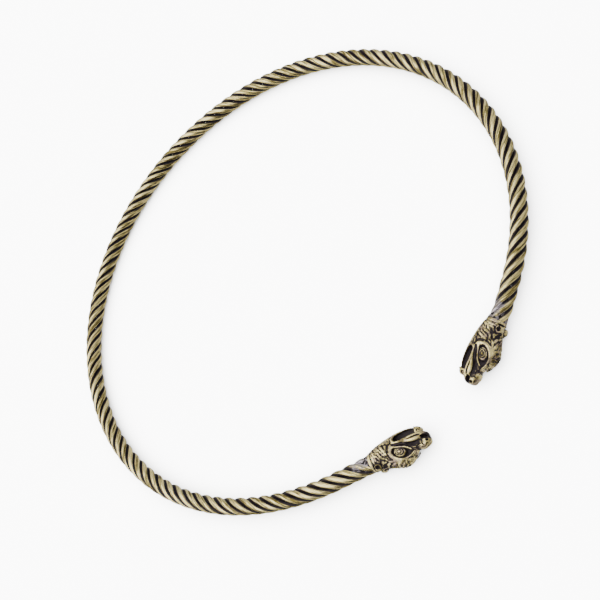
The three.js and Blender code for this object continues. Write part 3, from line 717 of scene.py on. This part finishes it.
def cast_bronze():
    material = bpy.data.materials.new("cast_bronze_black_patina_painted_shade")
    material.use_nodes = True
    tree = material.node_tree
    surface = tree.nodes["Principled BSDF"]
    place = add_node(tree, "ShaderNodeTexCoord", {}).outputs["Object"]
    hollow = add_node(tree, "ShaderNodeAttribute", {}, attribute_name="hollow").outputs["Fac"]
    grain = add_node(tree, "ShaderNodeTexNoise", {
        "Vector": place, "Scale": 1000 / CAST_GRAIN, "Detail": 5.0, "Roughness": 0.6})
    blotch = add_node(tree, "ShaderNodeTexNoise", {
        "Vector": place, "Scale": 1000 / TARNISH_SIZE, "Detail": 4.0, "Roughness": 0.55})
    tarnish = add_node(tree, "ShaderNodeMapRange", {
        "Value": blotch.outputs["Fac"], "From Min": 0.4, "From Max": 0.66}, interpolation_type="SMOOTHSTEP")
    bronze = add_node(tree, "ShaderNodeMix", {
        "Factor": tarnish.outputs["Result"], "A": linear("#fbe8a0"), "B": linear("#665a2b")},
        data_type="RGBA")
    bloom = add_node(tree, "ShaderNodeTexNoise", {
        "Vector": place, "Scale": 1000 / BLOOM_SIZE, "Detail": 4.0, "Roughness": 0.6})
    rosy = add_node(tree, "ShaderNodeMapRange", {
        "Value": bloom.outputs["Fac"], "From Min": 0.46, "From Max": 0.62, "To Max": 0.7},
        interpolation_type="SMOOTHSTEP")
    rubbed = add_node(tree, "ShaderNodeMix", {
        "Factor": rosy.outputs["Result"], "A": bronze.outputs["Result"], "B": linear("#a08a84")},
        data_type="RGBA")
    ragged = add_node(tree, "ShaderNodeMath", {
        0: grain.outputs["Fac"], 1: 0.9, 2: -0.43}, operation="MULTIPLY_ADD")
    deep = add_node(tree, "ShaderNodeMath", {0: hollow, 1: ragged.outputs["Value"]}, operation="ADD")
    # Black where the hollow value is high: patina, and the shade painted into the recesses and holes
    patina = add_node(tree, "ShaderNodeMapRange", {
        "Value": deep.outputs["Value"], "From Min": 0.08, "From Max": 0.4}, interpolation_type="SMOOTHSTEP")
    colour = add_node(tree, "ShaderNodeMix", {
        "Factor": patina.outputs["Result"], "A": rubbed.outputs["Result"], "B": linear("#151012")},
        data_type="RGBA")
    metal = add_node(tree, "ShaderNodeMapRange", {
        "Value": patina.outputs["Result"], "To Min": 1.0, "To Max": 0.7})
    rough = add_node(tree, "ShaderNodeMapRange", {
        "Value": patina.outputs["Result"], "To Min": 0.27, "To Max": 0.55})
    worn = add_node(tree, "ShaderNodeTexNoise", {
        "Vector": place, "Scale": 1000 / CAST_WEAR, "Detail": 3.0, "Roughness": 0.5})
    soft = add_node(tree, "ShaderNodeBump", {
        "Strength": 0.6, "Distance": 0.0003, "Height": worn.outputs["Fac"]})
    bump = add_node(tree, "ShaderNodeBump", {
        "Strength": 0.6, "Distance": 0.00008, "Height": grain.outputs["Fac"],
        "Normal": soft.outputs["Normal"]})
    tree.links.new(colour.outputs["Result"], surface.inputs["Base Color"])
    tree.links.new(metal.outputs["Result"], surface.inputs["Metallic"])
    tree.links.new(rough.outputs["Result"], surface.inputs["Roughness"])
    tree.links.new(bump.outputs["Normal"], surface.inputs["Normal"])
    return material


def in_ring(end, points):
    """Head millimetres as ring millimetres, for a head on that end of the cable."""
    sideways = np.cross(end["forward"], end["outward"])
    return end["neck"] + points @ np.stack([end["forward"], end["outward"], sideways])


head_finish = cast_bronze()
for side, end in (("left", left_end), ("right", right_end)):
    piece = mesh_piece(f"beast_head_{side}", in_ring(end, head_points), head_faces, {"hollow": head_patina_and_shade},
                       head_finish)
    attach(piece, "root")
    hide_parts(f"head_{side}")


# Solder: soft grey solder, run in hot behind each head. It stands highest on the side towards the middle of
# the ring, and creeps a few millimetres further along the grooves between the wires.
SOLDER_REACH = 6.5
SOLDER_SIDES = 96
SOLDER_STEPS = 56
SOLDER_SUNK = 0.1
SOLDER_CROWN = 0.3
SOLDER_SLOPE = 0.42
CROWN_SLOPE = 0.22
SOLDER_LEAST = 1.2
CLOUD_SIZE = 0.8


# Tin solder, aged: dull silver-grey, with nearly black dross clouding it, and a wrinkled skin that cooled
# where it ran.
def soft_solder():
    material = bpy.data.materials.new("soft_solder_dull")
    material.use_nodes = True
    tree = material.node_tree
    surface = tree.nodes["Principled BSDF"]
    place = add_node(tree, "ShaderNodeTexCoord", {}).outputs["Object"]
    cloud = add_node(tree, "ShaderNodeTexNoise", {
        "Vector": place, "Scale": 1000 / CLOUD_SIZE, "Detail": 5.0, "Roughness": 0.65})
    dull = add_node(tree, "ShaderNodeMapRange", {
        "Value": cloud.outputs["Fac"], "From Min": 0.43, "From Max": 0.53}, interpolation_type="SMOOTHSTEP")
    colour = add_node(tree, "ShaderNodeMix", {
        "Factor": dull.outputs["Result"], "A": linear("#958d91"), "B": linear("#1d191b")}, data_type="RGBA")
    rough = add_node(tree, "ShaderNodeMapRange", {
        "Value": dull.outputs["Result"], "To Min": 0.35, "To Max": 0.55})
    bump = add_node(tree, "ShaderNodeBump", {
        "Strength": 0.7, "Distance": 0.0003, "Height": cloud.outputs["Fac"]})
    surface.inputs["Metallic"].default_value = 1.0
    tree.links.new(colour.outputs["Result"], surface.inputs["Base Color"])
    tree.links.new(rough.outputs["Result"], surface.inputs["Roughness"])
    tree.links.new(bump.outputs["Normal"], surface.inputs["Normal"])
    return material


solder_finish = soft_solder()
cable_radius = TWIST_RADIUS + WIRE_RADIUS
fall = np.linspace(0, SOLDER_REACH, SOLDER_STEPS)[:, None]
bearing = np.linspace(0, 2 * math.pi, SOLDER_SIDES, endpoint=False)[None, :]
inward = (1 - np.cos(bearing)) / 2
lumps = 0.06 * np.sin(3 * bearing + 2.1 * fall) + 0.05 * np.sin(5 * bearing - 1.3 * fall + 1)
slope = SOLDER_SLOPE + (CROWN_SLOPE - SOLDER_SLOPE) * inward
level = cable_radius - SOLDER_SUNK + SOLDER_CROWN * inward - fall * slope + lumps
level = np.maximum(level, SOLDER_LEAST)
solder_points = np.stack([
    -fall + 0 * bearing, level * np.cos(bearing), level * np.sin(bearing)], -1).reshape(-1, 3)
solder_faces = strip_faces(SOLDER_STEPS, SOLDER_SIDES)[:, ::-1]
for side, end in (("left", left_end), ("right", right_end)):
    piece = mesh_piece(f"solder_run_{side}", in_ring(end, solder_points), solder_faces, {}, solder_finish)
    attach(piece, "root")
    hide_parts(f"solder_{side}")


# The surface that the torc lies on: a plain matt white table, six metres across, which doesn't show in the
# bronze. It isn't part of the object.
TABLE_HALF = 3
table_corners = [(TABLE_HALF * a, TABLE_HALF * b, 0) for a, b in ((-1, -1), (1, -1), (1, 1), (-1, 1))]
table_mesh = bpy.data.meshes.new("table")
table_mesh.from_pydata(table_corners, [], [(0, 1, 2, 3)])
table = bpy.data.objects.new("table", table_mesh)
bpy.context.scene.collection.objects.link(table)
white_table = bpy.data.materials.new("white_laminate")
white_table.use_nodes = True
table_surface = white_table.node_tree.nodes["Principled BSDF"]
table_surface.inputs["Base Color"].default_value = linear("#f4f4f4")
table_surface.inputs["Roughness"].default_value = 0.9
table_mesh.materials.append(white_table)
table.visible_glossy = False

# A white light tent: brightest at the upper left, where the window is, and dark in its two gaps, at the
# front left and at the right. Each has its direction, the cosines where it starts and where it is full, and
# how bright it leaves the tent outside and inside it. Past the table the camera sees plain white.
WINDOW = (-0.46, 0.25, 0.85), 0.5, 0.95, 0.85, 3.4
FRONT_GAP = (-0.38, -0.92, 0.1), 0.72, 0.92, 1.0, 0.04
RIGHT_GAP = (0.89, -0.44, -0.04), 0.84, 0.95, 1.0, 0.25
BACKDROP_WHITE = 13.0
world = bpy.data.worlds.new("studio")
bpy.context.scene.world = world
world.use_nodes = True
tent = world.node_tree
toward = add_node(tent, "ShaderNodeTexCoord", {}).outputs["Generated"]
glow = None
for direction, edge, middle, outside, inside in (WINDOW, FRONT_GAP, RIGHT_GAP):
    facing = add_node(tent, "ShaderNodeVectorMath", {0: toward, 1: direction}, operation="DOT_PRODUCT")
    share = add_node(tent, "ShaderNodeMapRange", {
        "Value": facing.outputs["Value"], "From Min": edge, "From Max": middle, "To Min": outside,
        "To Max": inside}, interpolation_type="SMOOTHSTEP").outputs["Result"]
    if glow:
        share = add_node(tent, "ShaderNodeMath", {0: glow, 1: share}, operation="MULTIPLY").outputs["Value"]
    glow = share
looked_at = add_node(tent, "ShaderNodeLightPath", {}).outputs["Is Camera Ray"]
shown = add_node(tent, "ShaderNodeMix", {
    "Factor": looked_at, "A": glow, "B": BACKDROP_WHITE}, data_type="FLOAT")
backdrop = tent.nodes["Background"]
backdrop.inputs["Color"].default_value = linear("#f6f5f2")
tent.links.new(shown.outputs["Result"], backdrop.inputs["Strength"])

# One large soft light above, which lights the table and softens the torc's shadow. The bronze doesn't show
# it, so its highlights come from the tent alone.
LIGHT_WAY = Vector((-0.05, 0.1, 1)).normalized()
LIGHT_DISTANCE = 1.2
LIGHT_WIDTH = 3.2
LIGHT_RADIANCE = 15
light_data = bpy.data.lights.new("table_light", "AREA")
light_data.shape = "SQUARE"
light_data.size = LIGHT_WIDTH
light_data.energy = LIGHT_RADIANCE * math.pi * LIGHT_WIDTH ** 2
light = bpy.data.objects.new("table_light", light_data)
light.location = LIGHT_WAY * LIGHT_DISTANCE
light.rotation_euler = LIGHT_WAY.to_track_quat("Z", "Y").to_euler()
light.visible_glossy = False
bpy.context.scene.collection.objects.link(light)
